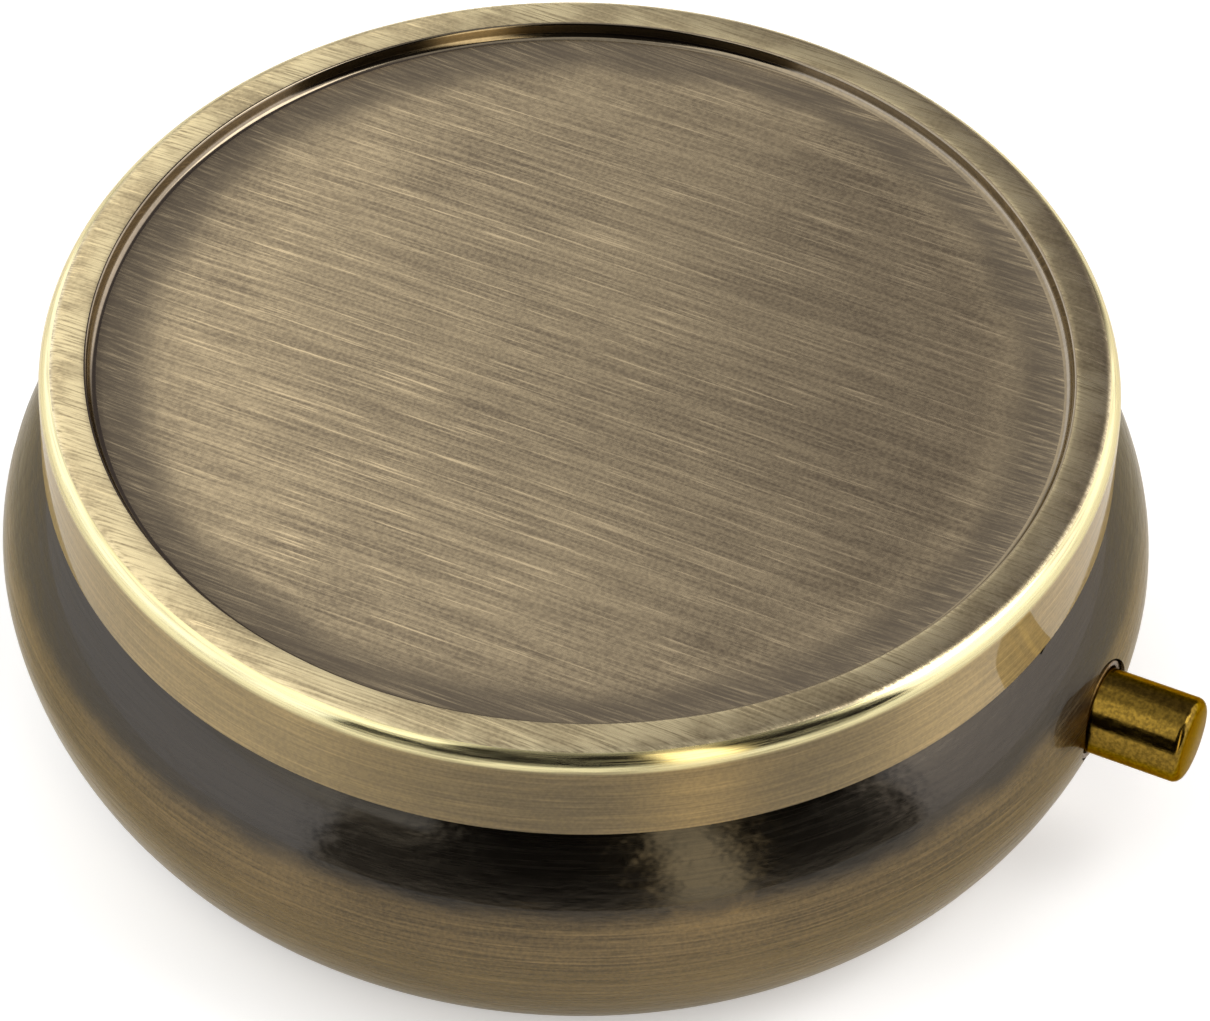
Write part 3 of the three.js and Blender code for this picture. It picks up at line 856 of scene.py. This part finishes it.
def make_lid_frame():
    flange = FRAME_BOTTOM + FRAME_WALL
    outline = rounded([
        (FRAME_OUTER, FRAME_BOTTOM, 0.25),
        (FRAME_OUTER, FRAME_TOP, 0.08),
        (FRAME_OUTER - FRAME_WALL, FRAME_TOP, 0.08),
        (FRAME_OUTER - FRAME_WALL, flange, 0),
        (FRAME_INNER, flange, 0.12),
        (FRAME_INNER, FRAME_BOTTOM, 0.2),
    ])
    mesh = revolve(outline)
    add_piece("mirror_frame", mesh, "lid", [inner_metal], "lid_frame")


def make_mirror():
    outline = rounded([
        (0, MIRROR_BOTTOM, 0),
        (MIRROR_RADIUS, MIRROR_BOTTOM, 0.12),
        (MIRROR_RADIUS, MIRROR_TOP, 0.1),
        (0, MIRROR_TOP, 0),
    ])
    mesh = revolve(outline)
    add_piece("mirror_disc", mesh, "lid", [mirror], "lid_mirror")


# ---- hinge ------------------------------------------------------------------------


def make_hinge_pin():
    half, radius, dome = HINGE_PIN_HALF, HINGE_PIN_RADIUS, 0.2
    outline = [
        *along(5, lambda t: (radius * quarter_sin(t), -half + dome * (1 - quarter_cos(t)))),
        *along(5, lambda t: (radius * quarter_cos(t), half - dome * (1 - quarter_sin(t)))),
    ]
    mesh = revolve(outline, 48, matrix=TOWARDS_X)
    add_piece("hinge_rod", mesh, "base", [nickel_steel], "hinge_pin")


def knuckle(x0, x1):
    """A rolled knuckle on the hinge pin, with eased edges."""
    outline = rounded([
        (HINGE_PIN_RADIUS + 0.05, x0, 0.05),
        (KNUCKLE_RADIUS, x0, 0.08),
        (KNUCKLE_RADIUS, x1, 0.08),
        (HINGE_PIN_RADIUS + 0.05, x1, 0.05),
    ], 3)
    return revolve(outline, 64, matrix=TOWARDS_X)


def bent(corners, thickness):
    """The closed outline of a bent strip, from the corners of its outer side."""
    path = rounded(corners)
    return path + offset(path, thickness)[::-1]


def make_strap():
    half = STRAP_HALF_WIDTH
    outline = bent([
        (STRAP_OUTER, HINGE_Z + 0.9, 0),
        (STRAP_OUTER, STRAP_TOP, 0.6),
        (STRAP_INNER, STRAP_TOP, 0),
    ], STRAP_SHEET)
    # room for the spring between the knuckles
    window = block((-STRAP_WINDOW, 20, HINGE_Z - 3), (STRAP_WINDOW, 25, HINGE_Z + 2))
    mesh = bar(outline, -half, half)
    joins = [knuckle(-half, -STRAP_WINDOW), knuckle(STRAP_WINDOW, half)]
    steel = [nickel_steel]
    add_piece("lid_strap", mesh, "lid", steel, "hinge_strap", [window], joins)


def make_rivets():
    head, shank, dome = 0.75, 0.4, 0.22
    sunk = 0.03  # into the strap or the catch
    top = STRAP_TOP - STRAP_SHEET + sunk
    outline = [
        *along(6, lambda t: (head * quarter_sin(t), top - dome * quarter_cos(t))),
        (shank, top),
        (shank, FRAME_BOTTOM + FRAME_WALL),
        (0, FRAME_BOTTOM + FRAME_WALL),
    ]
    for node in (
        "strap_rivet_left", "strap_rivet_right", "catch_rivet_left", "catch_rivet_right"
    ):
        middle = (low(node) + high(node)) / 2
        place = Matrix.Translation((middle.x, middle.y, 0))
        mesh = revolve(outline, 40, matrix=place)
        add_piece(node + "_domed", mesh, "lid", [nickel_steel], node)


def coil_point(turns, radius, half_width, whole):
    """A point of the torsion spring's coil, from its start at the bottom."""
    angle = -math.pi / 2 - turns * 2 * math.pi
    level_end = 0.35  # turns without pitch
    share = min(turns / (whole - level_end), 1.0)
    return (
        -half_width + 2 * half_width * share,
        HINGE_Y + radius * math.cos(angle),
        HINGE_Z + radius * math.sin(angle),
    )


def make_hinge_spring():
    """The coil and one leg stay on the base. The other leg turns with the lid, and
    brings the stretch of coil that winds on as the lid opens."""
    radius, half, whole = TORSION_RADIUS, 1.2, 3.25
    coil = along(130, lambda t: coil_point(whole * t, radius, half, whole))
    foot = [(-half, 20.3, HINGE_Z - radius - 0.05), (-half, 21.4, HINGE_Z - radius)]
    mesh = tube([*foot, *coil], WIRE_RADIUS)
    add_piece("torsion_coil", mesh, "base", [spring_wire], "hinge_spring")
    swept = 0.33  # turns
    wound = along(14, lambda t: coil_point(whole - swept * (1 - t), radius, half, whole))
    leg = [(half, HINGE_Y - radius, HINGE_Z + 1.5), (half, HINGE_Y - radius, HINGE_Z + 3.5)]
    mesh = tube([*wound, *leg], WIRE_RADIUS)
    add_piece("torsion_leg", mesh, "lid", [spring_wire], None)


# ---- push pin and catch -----------------------------------------------------------


def make_push_pin():
    round_ = 0.4
    outline = rounded([
        (0, STEM_END, 0),
        (STEM_RADIUS, STEM_END, 0.15),
        (STEM_RADIUS, FLANGE_INNER, 0),
        (FLANGE_RADIUS, FLANGE_INNER, 0.06),
        (FLANGE_RADIUS, FLANGE_OUTER, 0.06),
        (PIN_RADIUS, FLANGE_OUTER, 0),
        (PIN_RADIUS, PIN_TIP - 0.03, round_),
        (0, PIN_TIP, 0),
    ], 8)
    flat = block((-3, -FLANGE_OUTER - 0.02, FLANGE_FLAT), (3, 0.02 - FLANGE_INNER, 11))
    mesh = revolve(outline, 128, matrix=TOWARDS_PIN)
    brass = [bright_brass]
    add_piece("push_pin", mesh, "button", brass, "push_button", [flat])


def make_bush():
    inner, outer = PIN_RADIUS + 0.07, PIN_HOLE_RADIUS - 0.08
    near, far = -high("button_bush").y, -low("button_bush").y
    outline = rounded([
        (inner, near, 0.04), (outer, near, 0.04), (outer, far, 0.06), (inner, far, 0.08)
    ], 3)
    mesh = revolve(outline, 96, matrix=TOWARDS_PIN)
    add_piece("pin_bush", mesh, "base", [bush_brass], "button_bush")


def make_button_spring():
    radius, turns = 1.28, 4
    near, far = 20.12, 22.48
    mesh = tube(along(160, lambda t: (
        radius * math.cos(2 * math.pi * turns * t),
        -near - (far - near) * t,
        PIN_HEIGHT + radius * math.sin(2 * math.pi * turns * t),
    )), WIRE_RADIUS)
    piece = add_piece(
        "return_spring", mesh, "base", [spring_wire], "button_spring"
    )
    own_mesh(piece)


def make_catch():
    half = CATCH_HALF_WIDTH
    outline = bent([
        (-HOOK_INNER, CATCH_BOTTOM, 0),
        (-CATCH_OUTER, CATCH_BOTTOM, 0.55),
        (-CATCH_OUTER, STRAP_TOP, 0.6),
        (-STRAP_INNER, STRAP_TOP, 0),
    ], -CATCH_SHEET)
    mesh = bar(outline, -half, half)
    add_piece("hooked_catch", mesh, "lid", [nickel_steel], "lid_catch")


make_bowl()
make_mouth_ring()
make_tray()
make_lid()
make_lid_frame()
make_mirror()
make_hinge_pin()
make_strap()
make_rivets()
make_hinge_spring()
make_push_pin()
make_bush()
make_button_spring()
make_catch()

# the rest keep their CAD shape, with eased edges
for node in ("hinge_leaf", "latch_bracket", "latch_slide"):
    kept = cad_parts[node]
    kept.data.materials.clear()
    kept.data.materials.append(nickel_steel)
    flatten = kept.modifiers.new("flatten", "DECIMATE")
    flatten.decimate_type = "DISSOLVE"
    flatten.angle_limit = math.radians(1)
    ease = kept.modifiers.new("ease", "BEVEL")
    ease.width = 0.05 * MM
    ease.segments = 2
    ease.limit_method = "ANGLE"
    ease.angle_limit = EASED_EDGE

# ---- camera -----------------------------------------------------------------------

VIEW_AZIMUTH = math.radians(-66)
VIEW_ELEVATION = 0.8059  # radians, as the three small turns
VIEW_DISTANCE = 0.3
VIEW_AIM = Vector((0, 0, 0.008))
VIEW_YAW = 0.0041
VIEW_PITCH = -0.0012
VIEW_ROLL = -0.0261
LENS = 204.43  # millimetres

cos_up = math.cos(VIEW_ELEVATION)
back = Vector((
    math.sin(VIEW_AZIMUTH) * cos_up,
    -math.cos(VIEW_AZIMUTH) * cos_up,
    math.sin(VIEW_ELEVATION),
))
right = Vector((math.cos(VIEW_AZIMUTH), math.sin(VIEW_AZIMUTH), 0))
level = Matrix((right, back.cross(right), back))
# to camera: the level view, then the small yaw, pitch and roll of a hand-held camera
turns = (
    Matrix.Rotation(VIEW_ROLL, 3, "Z")
    @ Matrix.Rotation(VIEW_PITCH, 3, "X")
    @ Matrix.Rotation(VIEW_YAW, 3, "Y")
)
camera_data = bpy.data.cameras.new("camera")
camera_data.lens = LENS
camera_data.sensor_width = 36
camera_data.clip_start = 0.01
camera = bpy.data.objects.new("camera", camera_data)
bpy.context.scene.collection.objects.link(camera)
camera.matrix_world = (
    Matrix.Translation(VIEW_AIM + back * VIEW_DISTANCE)
    @ (turns @ level).transposed().to_4x4()
)
bpy.context.scene.camera = camera

# ---- floor and light --------------------------------------------------------------

FLOOR_HALF = 2.0  # metres


def make_floor():
    mesh = bmesh.new()
    bmesh.ops.create_grid(mesh, x_segments=1, y_segments=1, size=FLOOR_HALF)
    data = bpy.data.meshes.new("floor")
    mesh.to_mesh(data)
    mesh.free()
    floor = bpy.data.objects.new("floor", data)
    floor.location.z = -0.05 * MM
    bpy.context.scene.collection.objects.link(floor)
    graph = Graph("pale_floor")
    graph.set(Base_Color=(0.85, 0.85, 0.85, 1), Roughness=0.9, Specular_IOR_Level=0.0)
    graph.set(Emission_Color=(1, 1, 1, 1), Emission_Strength=0.35)
    data.materials.append(graph.material)


class Sky(Graph):
    """The studio round the object: soft light sources in a dim room."""

    def __init__(self, world):
        self.tree = world.node_tree
        self.tree.nodes.clear()
        coordinates = self.add("ShaderNodeTexCoord").outputs["Generated"]
        front = Vector((math.sin(VIEW_AZIMUTH), -math.cos(VIEW_AZIMUTH), 0))
        ahead = self.vector("DOT_PRODUCT", coordinates, front)
        aside = self.vector("DOT_PRODUCT", coordinates, right)
        behind = self.math("MULTIPLY", ahead, -1.0)
        self.near = self.degrees(self.math("ARCTAN2", aside, ahead))
        self.far = self.degrees(self.math("ARCTAN2", aside, behind))
        self.height = self.degrees(self.math("ARCSINE", self.split(coordinates)[2]))
        self.colour = None

    def degrees(self, value):
        return self.math("MULTIPLY", value, 180 / math.pi)

    def band(self, value, low, high, soft):
        rise = self.ramp(value, low - soft, low + soft)
        fall = self.ramp(value, high - soft, high + soft, 1.0, 0.0)
        return self.math("MULTIPLY", rise, fall)

    def panel(self, azimuth, azimuths, heights, soft, colour, strength):
        """Mixes a soft-edged panel over what is behind it, from its limits in degrees.
        near counts azimuths from the camera's side and far from the side opposite it."""
        across = self.band(azimuth, *azimuths, soft)
        mask = self.math("MULTIPLY", across, self.band(self.height, *heights, soft))
        bright = tuple(channel * strength for channel in colour)
        self.colour = self.mix(mask, self.colour, (*bright, 1))

    def close(self, strength):
        inputs = {"Color": self.colour, "Strength": strength}
        light = self.add("ShaderNodeBackground", inputs)
        output = self.add("ShaderNodeOutputWorld")
        self.tree.links.new(light.outputs[0], output.inputs["Surface"])


def make_sky():
    world = bpy.data.worlds.new("studio")
    world.use_nodes = True
    bpy.context.scene.world = world
    sky = Sky(world)
    room = (0.80, 0.82, 0.85, 1)
    sky.colour = sky.mix(sky.ramp(sky.height, -10, 80), room, (0.85, 0.84, 0.82, 1))
    # bright to the left behind the box, dim to the right behind it
    sky.panel(sky.far, (2, 100), (2, 74), 6, (1.05, 0.98, 1.14), 0.2)
    sky.panel(sky.far, (-85, -3), (16, 70), 5, (1.0, 0.97, 0.90), 1.6)
    # windows at the sides
    sky.panel(sky.near, (-150, -44), (-6, 32), 5, (0.94, 0.98, 1.10), 2.1)
    sky.panel(sky.near, (-108, -28), (34, 74), 5, (1.0, 0.99, 0.95), 2.1)
    sky.panel(sky.near, (62, 140), (-4, 42), 5, (1.0, 0.98, 1.02), 2.2)
    sky.panel(sky.near, (74, 110), (36, 66), 3, (1.0, 0.99, 0.97), 6.0)
    # the dark of the camera's side, with one narrow light in it
    sky.panel(sky.near, (-44, 64), (-14, 38), 2, (0.010, 0.008, 0.009), 1.0)
    sky.panel(sky.near, (-28, 62), (35, 72), 2, (0.02, 0.018, 0.018), 1.0)
    sky.panel(sky.near, (18, 31), (0, 58), 4, (1.0, 0.87, 0.60), 3.5)
    sky.close(1.0)


make_floor()
make_sky()
bpy.context.scene.view_settings.view_transform = "Standard"
